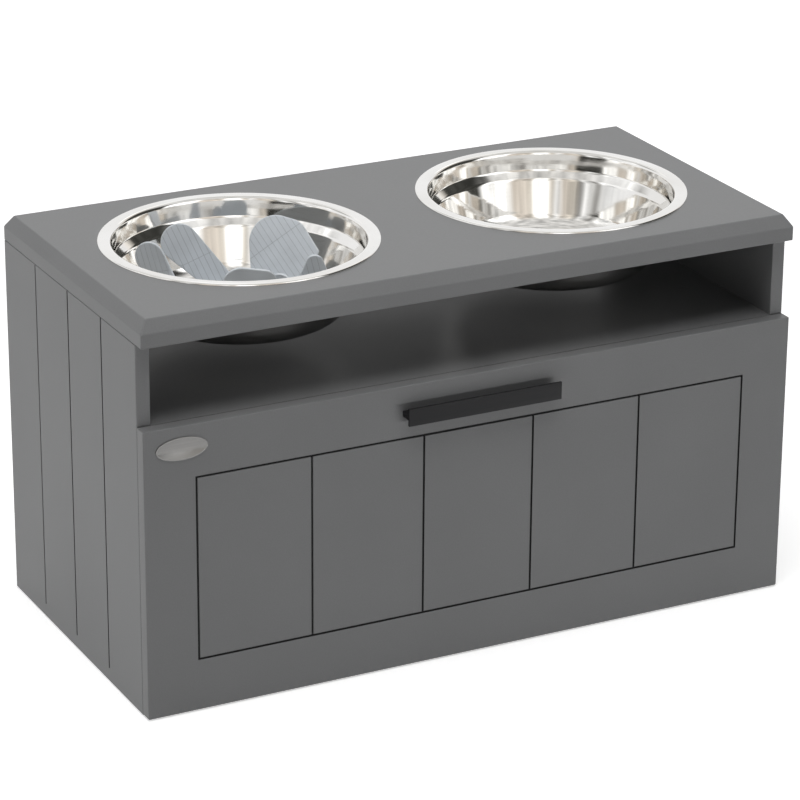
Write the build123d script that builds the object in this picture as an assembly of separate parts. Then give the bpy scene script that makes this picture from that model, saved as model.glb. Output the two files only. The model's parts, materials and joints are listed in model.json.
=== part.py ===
from build123d import *
import os
from math import cos, radians, sin

# An elevated pet feeder: a painted board cabinet with two drop-in steel bowls,
# a shelf compartment that is open at the front and back, and a full-width
# storage drawer on ball runners.
# Frame: millimetres, +Z up, the front faces -Y, the origin is in the middle of
# the whole feeder's box at floor level.

# ---------------------------------------------------------------- dimensions

WIDTH = 600.0  # across the front
DEPTH = 294.0  # drawer face to back
HEIGHT = 344.0  # floor to top surface

TOP_THICK = 22.5
BEVEL_IN = 6.8  # bevel round the top, across the surface
BEVEL_DOWN = 10.2  # and down the edge
BOARD = 12.0  # sides, shelf, base and drawer boards
BACK_BOARD = 9.0
SHELF_TOP = 252.2  # shelf surface, level with the top of the drawer front
FRONT_LIFT = 0.8  # drawer front clears the floor

GROOVE_WIDE = 1.8  # grooves that make the panels look planked
GROOVE_DEEP = 1.5
PLANKS_PER_SIDE = 4
SIDE_GROOVE_START = 12.0  # side grooves stop short of the floor
PANEL_FRAME_X = 254.6  # half width of the grooved rectangle on the drawer
PANEL_FRAME_LOW = 46.3
PANEL_FRAME_HIGH = 206.0
PLANKS_ON_FRONT = 5

HANDLE_LONG = 142.0
HANDLE_TALL = 15.4
HANDLE_REACH = 12.0
HANDLE_PLATE = 2.2
HANDLE_STEM = 5.0
HANDLE_EDGE = 0.6  # radius along the plate's edges
HANDLE_Z = 228.4  # middle of the handle

BADGE_X = -267.0
BADGE_Z = 233.0
BADGE_HALF_WIDE = 22.5
BADGE_HALF_TALL = 9.8
BADGE_THICK = 0.8
BADGE_EDGE = 0.4

BOWL_X = 147.6  # bowl centres either side of the middle
BOWL_BACK = 2.0  # and a little behind it
STEEL = 0.8  # bowl sheet
RIM_RADIUS = 117.5
MOUTH_RADIUS = 106.8  # outside of the bowl wall where it passes the top
CUTOUT_RADIUS = 108.2
RIM_RISE = 1.8
RIM_BEND = 3.5  # bend from the flat rim into the wall
BAND_DEEP = 16.0  # upright band under the rim
BAND_TAPER = 0.8
SHOULDER_RADIUS = 100.4
SHOULDER_DEEP = 22.5
BEND = 3.0  # bends either side of the shoulder
WALL_FOOT_RADIUS = 87.5
BOWL_DEEP = 65.0
FLOOR_BEND = 20.0  # bend between wall and floor
STAMP_RADIUS = 51.0  # raised circle pressed into the floor
STAMP_RISE = 1.2

INSERT_DISC_RADIUS = 64.0
INSERT_DISC_THICK = 3.0
LEAF_THICK = 3.0
CUP_RADIUS = 5.0  # little suction feet under the insert
CUP_RING = 57.5

RUNNER_LONG = 250.0
RUNNER_TALL = 27.0
RUNNER_THICK = 10.0  # gap between drawer box and cabinet side
RUNNER_SHEET = 1.2
RUNNER_START = 4.0  # behind the drawer front
RUNNER_Z = 84.0
TRAVEL = 175.0  # drawer travel
BALL_RADIUS = 1.75
BALL_ROW_Z = 10.4
BALL_X = 5.5
BALL_PITCH = 11.0
BALLS_IN_ROW = 6
BALL_ROOM = 0.12  # radial room round a ball in its cage
CAGE_SHEET = 0.5
CAGE_LONG = 64.0
CAGE_NEAR = 1.6  # from the cabinet side to the cage's web
CAGE_FAR = 7.0  # and to the ends of its flanges
CABINET_MOUTH = 8.6  # how far the cabinet rail reaches from the side
CABINET_LIP = 1.4
DRAWER_MOUTH = 2.4  # where the drawer rail starts
DRAWER_RAIL_HALF = 8.5
DRAWER_LIP = 1.1

DRAWER_LOW = 24.0
DRAWER_TALL = 196.0
DRAWER_LONG = 258.0  # side boards, behind the drawer front
DRAWER_SHEET = 4.0  # drawer bottom
DRAWER_SHEET_LIFT = 10.0
SHEET_GROOVE = 5.0
SHEET_PLAY = 0.1

CAM_RADIUS = 6.0
CAM_DEEP = 8.4
CAM_LOW = 0.8  # the cam sits this far below the face of the board
CAM_REACH = 20.0  # from the joint to the middle of the cam
BOLT_THREAD = 8.0
BOLT_RADIUS = 2.8
BOLT_FOOT = 2.5  # radius of the screwed foot
BOLT_NECK = 1.6
BOLT_HEAD = 2.6
NECK_START = 15.0  # along the bolt, from the joint
HEAD_START = 19.0
HEAD_END = 21.5
PASSAGE_ROOM = 0.3  # room round the bolt inside the cam
CAM_SHELF = 2.2  # where the cam's passage ends, past its middle
CROSS_LONG = 7.0  # screwdriver cross in a cam
CROSS_WIDE = 1.4
CROSS_DEEP = 2.0
DOWEL_RADIUS = 3.0
DOWEL_IN_FACE = 7.0
DOWEL_IN_END = 17.0
HOLE_PLAY = 0.08  # radial room round fittings

# ------------------------------------------------------------ derived places

FRONT = -(DEPTH - HANDLE_REACH) / 2  # drawer face
BACK = FRONT + DEPTH
INNER_FRONT = FRONT + BOARD  # front edges of the cabinet boards
INNER_BACK = BACK - BACK_BOARD
SIDE_IN = WIDTH / 2 - BOARD  # inner face of a side panel
UNDER_TOP = HEIGHT - TOP_THICK
SHELF_LOW = SHELF_TOP - BOARD
BOWL_Y = FRONT + DEPTH / 2 + BOWL_BACK
DRAWER_OUT = SIDE_IN - RUNNER_THICK  # outer face of a drawer side
DRAWER_IN = DRAWER_OUT - BOARD
DRAWER_BACK = INNER_FRONT + DRAWER_LONG
DRAWER_HIGH = DRAWER_LOW + DRAWER_TALL
SHEET_LOW = DRAWER_LOW + DRAWER_SHEET_LIFT
HALF_RUNNER = RUNNER_TALL / 2
DISC_TOP = -BOWL_DEEP + STAMP_RISE + STEEL + 0.1 + INSERT_DISC_THICK  # below the top surface


# ------------------------------------------------------------------- helpers


def block(x, y, z):
    """A box given by its low and high limits on each axis."""
    size = (x[1] - x[0], y[1] - y[0], z[1] - z[0])
    middle = ((x[0] + x[1]) / 2, (y[0] + y[1]) / 2, (z[0] + z[1]) / 2)
    return Pos(*middle) * Box(*size)


def save(name, pieces):
    """Write one sub-part: a single piece, or a group of identical ones."""
    pieces = list(pieces) if isinstance(pieces, (list, tuple)) else [pieces]
    solids = [solid for piece in pieces for solid in piece.solids()]
    shape = solids[0] if len(solids) == 1 else Compound(children=solids)
    export_step(shape, f"parts/{name}.step")


def rod(radius, start, end):
    """A round bar along local Z from start to end."""
    return Pos(0, 0, (start + end) / 2) * Cylinder(radius, abs(end - start))


def both_sides(left):
    """The left-hand pieces followed by their mirror images on the right."""
    return left + [mirror(piece, about=Plane.YZ) for piece in left]


def screw(head, shank, length):
    """A countersunk cross-head wood screw, head level with local z = 0."""
    cone_deep = head - shank
    cone = Pos(0, 0, -cone_deep / 2) * Cone(shank, head, cone_deep)
    body = cone + rod(shank, -cone_deep, -length + shank)
    body += Pos(0, 0, -length + shank / 2) * Cone(0.2, shank, shank)
    recess = Box(head, 0.7, 1.6) + Box(0.7, head, 1.6)
    return body - recess


def screw_hole(head, shank, length):
    """The countersunk hole that the screw sits in."""
    cone_deep = head - shank
    cone = Pos(0, 0, -cone_deep / 2) * Cone(shank + HOLE_PLAY, head + HOLE_PLAY, cone_deep)
    return cone + rod(shank + HOLE_PLAY, 0, -length - 0.2)


# ------------------------------------------------- knock-down board fittings

# Each joint is built in a local frame: z = 0 is the plane where two boards
# meet, +Z runs into the board whose end is held, and the open side of the cam
# pocket faces +X.


def cam_bolt():
    """Steel bolt: a screwed foot, a shank, a narrow neck and a round head."""
    foot = rod(BOLT_FOOT, -BOLT_THREAD, 0)
    shank = rod(BOLT_RADIUS, 0, NECK_START)
    neck = rod(BOLT_NECK, NECK_START, HEAD_START)
    head = rod(BOLT_HEAD, HEAD_START, HEAD_END)
    return foot + shank + neck + head


def cam_lock():
    """Round zinc cam with a passage for the bolt head and a cross recess."""
    face = BOARD / 2 - CAM_LOW
    disc = Rot(0, 90, 0) * Pos(0, 0, face - CAM_DEEP / 2) * Cylinder(CAM_RADIUS, CAM_DEEP)
    room = BOLT_RADIUS + PASSAGE_ROOM
    passage = block((-BOARD, room), (-room, room), (-BOARD, CAM_SHELF))
    cross = Box(2 * CROSS_DEEP, CROSS_WIDE, CROSS_LONG) + Box(2 * CROSS_DEEP, CROSS_LONG, CROSS_WIDE)
    return Pos(0, 0, CAM_REACH) * (disc - passage - Pos(face, 0, 0) * cross)


def cam_cover():
    """Thin cap over a cam that would be seen, level with the board."""
    cap = Rot(0, 90, 0) * Pos(0, 0, BOARD / 2 - CAM_LOW / 2) * Cylinder(CAM_RADIUS, CAM_LOW)
    return Pos(0, 0, CAM_REACH) * cap


def end_bores():
    """What a cam joint removes from the board whose end is held."""
    pocket_deep = CAM_DEEP + CAM_LOW + 0.2
    middle = BOARD / 2 - pocket_deep / 2 + 1
    pocket = Rot(0, 90, 0) * Pos(0, 0, middle) * Cylinder(CAM_RADIUS + HOLE_PLAY, pocket_deep + 2)
    return Pos(0, 0, CAM_REACH) * pocket + rod(BOLT_RADIUS + HOLE_PLAY, -1, CAM_REACH + 2)


def foot_bore():
    """The pilot hole for the bolt's screwed foot."""
    return rod(BOLT_FOOT + HOLE_PLAY, -BOLT_THREAD - 0.2, 1)


def dowel():
    return rod(DOWEL_RADIUS, -DOWEL_IN_FACE, DOWEL_IN_END)


def dowel_bore():
    return rod(DOWEL_RADIUS + HOLE_PLAY, -DOWEL_IN_FACE - 0.4, DOWEL_IN_END + 0.4)


def place(origin, into, cam_faces):
    """Where a joint goes: its point, its direction and the side the cam faces."""
    return Plane(origin=origin, x_dir=cam_faces, z_dir=into).location


def joint_pieces(joints, dowels):
    """The bolts, cams and dowels of a set of joints."""
    bolts = [spot * cam_bolt() for spot in joints]
    cams = [spot * cam_lock() for spot in joints]
    pegs = [spot * dowel() for spot in dowels]
    return bolts, cams, pegs


def drilled(board, cutters):
    """A board with each cutter taken out of it."""
    for cutter in cutters:
        board -= cutter
    return board


CAM_Y = (-94.0, 102.0)  # cams of the level boards, front and back
PEG_Y = (-56.0, 64.0)
LEFT_OUT, LEFT_IN, DOWN, UP = (-1, 0, 0), (1, 0, 0), (0, 0, -1), (0, 0, 1)


def level_board_joints(z):
    """Left-hand joints between a side panel and a level board centred on z."""
    cams = [place((-SIDE_IN, y, z), LEFT_IN, DOWN) for y in CAM_Y]
    pegs = [place((-SIDE_IN, y, z), LEFT_IN, DOWN) for y in PEG_Y]
    return cams, pegs


def top_joints():
    """Left-hand joints between the top and a side panel, cams facing inward."""
    x = -WIDTH / 2 + BOARD / 2
    cams = [place((x, y, UNDER_TOP), DOWN, LEFT_IN) for y in CAM_Y]
    pegs = [place((x, y, UNDER_TOP), DOWN, LEFT_IN) for y in PEG_Y]
    return cams, pegs


SHELF_CAMS, SHELF_PEGS = level_board_joints(SHELF_LOW + BOARD / 2)
BASE_CAMS, BASE_PEGS = level_board_joints(BOARD / 2)
TOP_CAMS, TOP_PEGS = top_joints()

DRAWER_CAM_Z = (58.0, 182.0)
DRAWER_PEG_Z = (120.0, 206.0)
DRAWER_JOINT_X = -DRAWER_OUT + BOARD / 2
BACKWARD = (0, 1, 0)
DRAWER_CAMS = [place((DRAWER_JOINT_X, INNER_FRONT, z), BACKWARD, LEFT_IN) for z in DRAWER_CAM_Z]
DRAWER_PEGS = [place((DRAWER_JOINT_X, INNER_FRONT, z), BACKWARD, LEFT_IN) for z in DRAWER_PEG_Z]


# -------------------------------------------------------------------- screws

RAIL_SCREW = dict(head=2.6, shank=1.4, length=11.0)
BOARD_SCREW = dict(head=3.6, shank=1.8, length=34.0)
HANDLE_SCREW_X = 48.0
HANDLE_SCREW_SHANK = 1.6
HANDLE_SCREW_HEAD = 3.4
HANDLE_SCREW_BITE = 7.0  # how far the screw runs into the stem

HANDLE_SCREW_SPOTS = [
    place((x, INNER_FRONT, HANDLE_Z), BACKWARD, UP) for x in (-HANDLE_SCREW_X, HANDLE_SCREW_X)
]

RAIL_SCREW_STEPS = (20.0, 125.0, 230.0)  # along the rail from its front end
BACK_SCREW_X = (-200.0, 0.0, 200.0)
DRAWER_SCREW_Z = (60.0, 176.0)


def rail_screw_spots():
    """Left side: cabinet rail screws point outward, drawer rail screws inward."""
    start = INNER_FRONT + RUNNER_START
    cabinet_x = -SIDE_IN + RUNNER_SHEET
    drawer_x = -DRAWER_OUT - RUNNER_SHEET
    cabinet = []
    drawer = []
    for step in RAIL_SCREW_STEPS:
        cabinet.append(place((cabinet_x, start + step, RUNNER_Z), LEFT_IN, UP))
        drawer.append(place((drawer_x, start + step, RUNNER_Z), LEFT_OUT, UP))
    return cabinet, drawer


CABINET_RAIL_SPOTS, DRAWER_RAIL_SPOTS = rail_screw_spots()
BACK_SCREW_Z = (BOARD / 2, SHELF_LOW + BOARD / 2)
BACK_SPOTS = [place((x, BACK, z), BACKWARD, (1, 0, 0)) for z in BACK_SCREW_Z for x in BACK_SCREW_X]
DRAWER_BACK_SPOTS = [
    place((-DRAWER_OUT, DRAWER_BACK - BOARD / 2, z), LEFT_OUT, UP) for z in DRAWER_SCREW_Z
]


# ------------------------------------------------------------------- cabinet


def top_panel():
    """Thick top with a steep bevel all round and two round cut-outs."""
    panel = block((-WIDTH / 2, WIDTH / 2), (FRONT, BACK), (UNDER_TOP, HEIGHT))
    surface = panel.faces().sort_by(Axis.Z)[-1]
    panel = chamfer(surface.edges(), length=BEVEL_IN, length2=BEVEL_DOWN, reference=surface)
    for x in (-BOWL_X, BOWL_X):
        panel -= Pos(x, BOWL_Y, HEIGHT) * Cylinder(CUTOUT_RADIUS, 3 * TOP_THICK)
    cutters = [spot * foot_bore() for spot in TOP_CAMS] + [spot * dowel_bore() for spot in TOP_PEGS]
    return drilled(panel, both_sides(cutters))


def left_side_panel():
    """Side with planking grooves down its outer face."""
    panel = block((-WIDTH / 2, -SIDE_IN), (INNER_FRONT, BACK), (0, UNDER_TOP))
    plank = (BACK - INNER_FRONT) / PLANKS_PER_SIDE
    for k in range(1, PLANKS_PER_SIDE):
        y = INNER_FRONT + k * plank
        wide = (y - GROOVE_WIDE / 2, y + GROOVE_WIDE / 2)
        deep = (-WIDTH / 2 - 1, -WIDTH / 2 + GROOVE_DEEP)
        panel -= block(deep, wide, (SIDE_GROOVE_START, UNDER_TOP + 1))
    cutters = [spot * foot_bore() for spot in SHELF_CAMS + BASE_CAMS]
    cutters += [spot * dowel_bore() for spot in SHELF_PEGS + BASE_PEGS + TOP_PEGS]
    cutters += [spot * end_bores() for spot in TOP_CAMS]
    cutters += [spot * screw_hole(**RAIL_SCREW) for spot in CABINET_RAIL_SPOTS]
    return drilled(panel, cutters)


def level_board(z, cams, pegs):
    """Shelf or base board between the sides, in front of the back panel."""
    board = block((-SIDE_IN, SIDE_IN), (INNER_FRONT, INNER_BACK), (z, z + BOARD))
    cutters = [spot * end_bores() for spot in cams] + [spot * dowel_bore() for spot in pegs]
    board = drilled(board, both_sides(cutters))
    return drilled(board, [spot * screw_hole(**BOARD_SCREW) for spot in BACK_SPOTS])


def back_panel():
    """Closes the drawer bay; the shelf compartment above it is left open."""
    panel = block((-SIDE_IN, SIDE_IN), (INNER_BACK, BACK), (0, SHELF_TOP))
    return drilled(panel, [spot * screw_hole(**BOARD_SCREW) for spot in BACK_SPOTS])


# -------------------------------------------------------------------- drawer


def drawer_front():
    """Full-overlay front with a grooved frame and four upright grooves."""
    face = block((-WIDTH / 2, WIDTH / 2), (FRONT, INNER_FRONT), (FRONT_LIFT, SHELF_TOP))
    deep = (FRONT - 1, FRONT + GROOVE_DEEP)
    half = GROOVE_WIDE / 2
    for z in (PANEL_FRAME_LOW, PANEL_FRAME_HIGH):
        face -= block((-PANEL_FRAME_X - half, PANEL_FRAME_X + half), deep, (z - half, z + half))
    plank = 2 * PANEL_FRAME_X / PLANKS_ON_FRONT
    for k in range(PLANKS_ON_FRONT + 1):
        x = -PANEL_FRAME_X + k * plank
        face -= block((x - half, x + half), deep, (PANEL_FRAME_LOW, PANEL_FRAME_HIGH))
    cutters = [spot * foot_bore() for spot in DRAWER_CAMS] + [spot * dowel_bore() for spot in DRAWER_PEGS]
    face = drilled(face, both_sides(cutters))
    for x in (-HANDLE_SCREW_X, HANDLE_SCREW_X):
        bore = Rot(90, 0, 0) * Cylinder(HANDLE_SCREW_SHANK + HOLE_PLAY, 3 * BOARD)
        face -= Pos(x, FRONT + BOARD / 2, HANDLE_Z) * bore
    return face - drawer_sheet(SHEET_PLAY)


def drawer_left_side():
    board = block((-DRAWER_OUT, -DRAWER_IN), (INNER_FRONT, DRAWER_BACK), (DRAWER_LOW, DRAWER_HIGH))
    cutters = [spot * end_bores() for spot in DRAWER_CAMS]
    cutters += [spot * dowel_bore() for spot in DRAWER_PEGS]
    cutters += [spot * screw_hole(**RAIL_SCREW) for spot in DRAWER_RAIL_SPOTS]
    cutters += [spot * screw_hole(**BOARD_SCREW) for spot in DRAWER_BACK_SPOTS]
    return drilled(board, cutters) - drawer_sheet(SHEET_PLAY)


def drawer_back():
    board = block((-DRAWER_IN, DRAWER_IN), (DRAWER_BACK - BOARD, DRAWER_BACK), (DRAWER_LOW, DRAWER_HIGH))
    holes = [spot * screw_hole(**BOARD_SCREW) for spot in DRAWER_BACK_SPOTS]
    return drilled(board, both_sides(holes)) - drawer_sheet(SHEET_PLAY)


def drawer_sheet(play=0.0):
    """Thin bottom held in grooves; with play it is the groove's cutter."""
    across = DRAWER_IN + SHEET_GROOVE + play
    along = (INNER_FRONT - SHEET_GROOVE - play, DRAWER_BACK - BOARD + SHEET_GROOVE + play)
    return block((-across, across), along, (SHEET_LOW - play, SHEET_LOW + DRAWER_SHEET + play))


def drawer_handle():
    """T-shaped bar: an upright plate on a level stem."""
    half = HANDLE_LONG / 2
    plate_y = (FRONT - HANDLE_REACH, FRONT - HANDLE_REACH + HANDLE_PLATE)
    plate = block((-half, half), plate_y, (HANDLE_Z - HANDLE_TALL / 2, HANDLE_Z + HANDLE_TALL / 2))
    edges = plate.edges().filter_by(Axis.X)
    plate = fillet(edges, radius=HANDLE_EDGE)
    stem_z = (HANDLE_Z - HANDLE_STEM / 2, HANDLE_Z + HANDLE_STEM / 2)
    stem = block((-half, half), (FRONT - HANDLE_REACH + HANDLE_PLATE / 2, FRONT), stem_z)
    bar = plate + stem
    for x in (-HANDLE_SCREW_X, HANDLE_SCREW_X):
        bore = Rot(90, 0, 0) * Cylinder(HANDLE_SCREW_SHANK + HOLE_PLAY, 2 * HANDLE_SCREW_BITE + 1)
        bar -= Pos(x, FRONT, HANDLE_Z) * bore
    return bar


def handle_screw():
    """Pan-head screw put in from inside the drawer."""
    shank = rod(HANDLE_SCREW_SHANK, -BOARD - HANDLE_SCREW_BITE, 0.5)
    head = rod(HANDLE_SCREW_HEAD, 0, 2.2)
    head = fillet(head.edges().sort_by(Axis.Z)[-1], radius=1.2)
    recess = Pos(0, 0, 2.2) * (Box(3.4, 0.8, 2) + Box(0.8, 3.4, 2))
    return shank + head - recess


def front_badge():
    """Blank oval plate on the drawer front."""
    oval = extrude(Ellipse(BADGE_HALF_WIDE, BADGE_HALF_TALL), BADGE_THICK)
    rim = oval.faces().sort_by(Axis.Z)[-1].edges()
    oval = fillet(rim, radius=BADGE_EDGE)
    return place((BADGE_X, FRONT, BADGE_Z), (0, -1, 0), (1, 0, 0)) * oval


# ------------------------------------------------------------ drawer runners

# Sections are drawn for the left runner. Local x grows from the cabinet side
# towards the drawer, and local z is measured from the middle of the runner.


def runner_piece(x, z, length, start):
    """A strip of a rail: x and z limits, swept along the runner."""
    y = (INNER_FRONT + RUNNER_START + start, INNER_FRONT + RUNNER_START + start + length)
    return block((x[0] - SIDE_IN, x[1] - SIDE_IN), y, (RUNNER_Z + z[0], RUNNER_Z + z[1]))


def channel(web, flange_x, flange_z, lip_x, lip_z):
    """A channel rail with a lip on each flange, alike above and below."""
    rail = runner_piece(web, (-flange_z[1], flange_z[1]), RUNNER_LONG, 0)
    for side in (-1, 1):
        for x, z in ((flange_x, flange_z), (lip_x, lip_z)):
            band = sorted((side * z[0], side * z[1]))
            rail += runner_piece(x, band, RUNNER_LONG, 0)
    return rail


def cabinet_rail():
    sheet = RUNNER_SHEET
    mouth = CABINET_MOUTH
    flange = (HALF_RUNNER - sheet, HALF_RUNNER)
    lip = (HALF_RUNNER - sheet - CABINET_LIP, HALF_RUNNER - sheet / 2)
    rail = channel((0, sheet), (0, mouth), flange, (mouth - sheet, mouth), lip)
    return drilled(rail, [spot * screw_hole(**RAIL_SCREW) for spot in CABINET_RAIL_SPOTS])


def drawer_rail():
    sheet = RUNNER_SHEET
    mouth = DRAWER_MOUTH
    reach = DRAWER_RAIL_HALF
    flange = (reach - sheet, reach)
    lip = (reach - sheet / 2, reach + DRAWER_LIP)
    web = (RUNNER_THICK - sheet, RUNNER_THICK)
    rail = channel(web, (mouth, RUNNER_THICK), flange, (mouth, mouth + sheet), lip)
    return drilled(rail, [spot * screw_hole(**RAIL_SCREW) for spot in DRAWER_RAIL_SPOTS])


# Where the cage waits while the drawer is shut: it moves half the drawer's
# travel, and a little rail is left in front of it when the drawer is out.
CAGE_START = TRAVEL / 2 + 3.0


def ball_spots():
    """Centres of the balls, two rows a runner."""
    first = CAGE_START + (CAGE_LONG - (BALLS_IN_ROW - 1) * BALL_PITCH) / 2
    y0 = INNER_FRONT + RUNNER_START + first
    x = BALL_X - SIDE_IN
    rows = (RUNNER_Z - BALL_ROW_Z, RUNNER_Z + BALL_ROW_Z)
    return [Pos(x, y0 + k * BALL_PITCH, z) for z in rows for k in range(BALLS_IN_ROW)]


def ball_cage():
    """Thin pressed strip that keeps the balls apart."""
    reach = BALL_ROW_Z + CAGE_SHEET / 2
    cage = runner_piece((CAGE_NEAR, CAGE_NEAR + CAGE_SHEET), (-reach, reach), CAGE_LONG, CAGE_START)
    for side in (-1, 1):
        band = sorted((side * (reach - CAGE_SHEET), side * reach))
        cage += runner_piece((CAGE_NEAR, CAGE_FAR), band, CAGE_LONG, CAGE_START)
    return drilled(cage, [spot * Cylinder(BALL_RADIUS + BALL_ROOM, 3) for spot in ball_spots()])


def steel_balls():
    return [spot * Sphere(BALL_RADIUS) for spot in ball_spots()]


# --------------------------------------------------------------------- bowls


def bowl(x):
    """Pressed steel bowl that hangs by its rim: band, shoulder, wall, floor."""
    t = STEEL
    floor = -BOWL_DEEP
    stamp = floor + STAMP_RISE
    band_foot = MOUTH_RADIUS - BAND_TAPER
    corners = [
        # underside, from the rolled edge of the rim to the middle of the floor
        (RIM_RADIUS - t, 0, 0),
        (RIM_RADIUS - t, RIM_RISE - t, 0.5),
        (MOUTH_RADIUS, RIM_RISE - t, RIM_BEND - t),
        (band_foot, -BAND_DEEP, BEND),
        (SHOULDER_RADIUS, -SHOULDER_DEEP, BEND),
        (WALL_FOOT_RADIUS, floor, FLOOR_BEND),
        (STAMP_RADIUS + t, floor, 0.6),
        (STAMP_RADIUS - t, stamp, 0.6),
        (0, stamp, 0),
        # inside, from the middle of the floor back up to the rim
        (0, stamp + t, 0),
        (STAMP_RADIUS - t, stamp + t, 0.6),
        (STAMP_RADIUS + t, floor + t, 0.6),
        (WALL_FOOT_RADIUS - 0.8 * t, floor + t, FLOOR_BEND - t),
        (SHOULDER_RADIUS - t, 0.4 * t - SHOULDER_DEEP, BEND + t),
        (band_foot - t, 0.4 * t - BAND_DEEP, BEND - t),
        (MOUTH_RADIUS - t, RIM_RISE, RIM_BEND),
        (RIM_RADIUS, RIM_RISE, 1.4),
        (RIM_RADIUS, 0, 0),
    ]
    outline = FilletPolyline([(r, z) for r, z, bend in corners], radius=[c[2] for c in corners], close=True)
    section = Plane.XZ * make_face(outline)
    return Pos(x, BOWL_Y, HEIGHT) * revolve(section, Axis.Z)


def leaf(foot, tip, drop, turn, foot_wide, bulges):
    """An upright tongue standing on the insert's disc.

    foot and tip are x, y from the bowl's centre, drop is the tip's depth below
    the top surface, and turn is the heading of the leaf's width. The outline is
    the hull of the foot and of round bulges: sideways, below the tip, radius.
    """
    across = Vector(cos(radians(turn)), sin(radians(turn)), 0)
    low = Vector(foot[0], foot[1], DISC_TOP - 1)
    rise = Vector(tip[0], tip[1], -drop) - low
    facing = across.cross(rise).normalized()
    upward = facing.cross(across)
    lean, tall = rise.dot(across), rise.dot(upward)
    edges = list((Pos(0, 1) * Rectangle(foot_wide, 2)).edges())
    for sideways, below, radius in bulges:
        edges += (Pos(lean + sideways, tall - below) * Circle(radius)).edges()
    face = Plane(origin=low, x_dir=across, z_dir=facing) * make_hull(edges)
    return extrude(face, LEAF_THICK / 2, both=True)


def slow_feeder_insert():
    """One soft moulding: a disc, six leaves and six little suction feet."""
    insert = Pos(0, 0, DISC_TOP - INSERT_DISC_THICK / 2) * Cylinder(INSERT_DISC_RADIUS, INSERT_DISC_THICK)
    cup_tall = STAMP_RISE + 0.5
    cup_middle = DISC_TOP - INSERT_DISC_THICK - STAMP_RISE + cup_tall / 2
    for spot in PolarLocations(CUP_RING, 6, start_angle=20):
        insert += Pos(0, 0, cup_middle) * spot * Cylinder(CUP_RADIUS, cup_tall)
    insert += leaf((-48, 26), (-65, 42), 6, -50, 30, [(0, 13, 13)])
    insert += leaf((9, 53), (-22, 73), 5, -20, 28, [(0, 15, 15)])
    insert += leaf((50, 30), (60, 46), 5, -42, 48, [(-11, 15, 15), (5, 17, 15), (33, 25, 3)])
    insert += leaf((48, -40), (59, -20), 15, -25, 34, [(0, 9, 9)])
    insert += leaf((-11, -54), (-14, -44), 9, -18, 36, [(-8, 14, 14), (10, 15, 12)])
    insert += leaf((16, -58), (8, -61), 17, -45, 22, [(0, 12, 12)])
    return Pos(-BOWL_X, BOWL_Y, HEIGHT) * insert


# --------------------------------------------------------------------- write

os.makedirs("parts", exist_ok=True)

cabinet_bolts, cabinet_cams, cabinet_pegs = joint_pieces(
    SHELF_CAMS + BASE_CAMS + TOP_CAMS, SHELF_PEGS + BASE_PEGS + TOP_PEGS
)
drawer_bolts, drawer_cams, drawer_pegs = joint_pieces(DRAWER_CAMS, DRAWER_PEGS)

save("top_panel", top_panel())
save("left_side_panel", left_side_panel())
save("right_side_panel", mirror(left_side_panel(), about=Plane.YZ))
save("back_panel", back_panel())
save("shelf_panel", level_board(SHELF_LOW, SHELF_CAMS, SHELF_PEGS))
save("bottom_panel", level_board(0, BASE_CAMS, BASE_PEGS))
save("cabinet_cam_bolts", both_sides(cabinet_bolts))
save("cabinet_cam_locks", both_sides(cabinet_cams))
save("cam_cover_caps", both_sides([spot * cam_cover() for spot in TOP_CAMS]))
save("cabinet_dowels", both_sides(cabinet_pegs))
save("back_panel_screws", [spot * screw(**BOARD_SCREW) for spot in BACK_SPOTS])

save("drawer_front", drawer_front())
save("drawer_left_side", drawer_left_side())
save("drawer_right_side", mirror(drawer_left_side(), about=Plane.YZ))
save("drawer_back", drawer_back())
save("drawer_bottom", drawer_sheet())
save("drawer_handle", drawer_handle())
save("handle_screws", [spot * handle_screw() for spot in HANDLE_SCREW_SPOTS])
save("front_badge", front_badge())
save("drawer_cam_bolts", both_sides(drawer_bolts))
save("drawer_cam_locks", both_sides(drawer_cams))
save("drawer_dowels", both_sides(drawer_pegs))
save("drawer_back_screws", both_sides([spot * screw(**BOARD_SCREW) for spot in DRAWER_BACK_SPOTS]))

RAIL_SETS = {
    "cabinet_rail": [cabinet_rail()],
    "drawer_rail": [drawer_rail()],
    "ball_cage": [ball_cage()],
    "balls": steel_balls(),
    "cabinet_rail_screws": [spot * screw(**RAIL_SCREW) for spot in CABINET_RAIL_SPOTS],
    "drawer_rail_screws": [spot * screw(**RAIL_SCREW) for spot in DRAWER_RAIL_SPOTS],
}
for name, pieces in RAIL_SETS.items():
    save("left_" + name, pieces)
    save("right_" + name, [mirror(piece, about=Plane.YZ) for piece in pieces])

save("left_bowl", bowl(-BOWL_X))
save("right_bowl", bowl(BOWL_X))
save("slow_feeder_insert", slow_feeder_insert())
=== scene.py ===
# %% [markdown]
# # A raised pet feeder with a storage drawer
# The feeder is a painted board cabinet. Two steel bowls hang in its top, a
# shelf lies open under them, and a wide drawer fills the lower part. We start
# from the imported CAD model, which holds every board, screw and rail at its
# true place, and dress it: some pieces keep their CAD mesh and get a finish,
# and the ones that show most are modelled again with softer edges.

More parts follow.
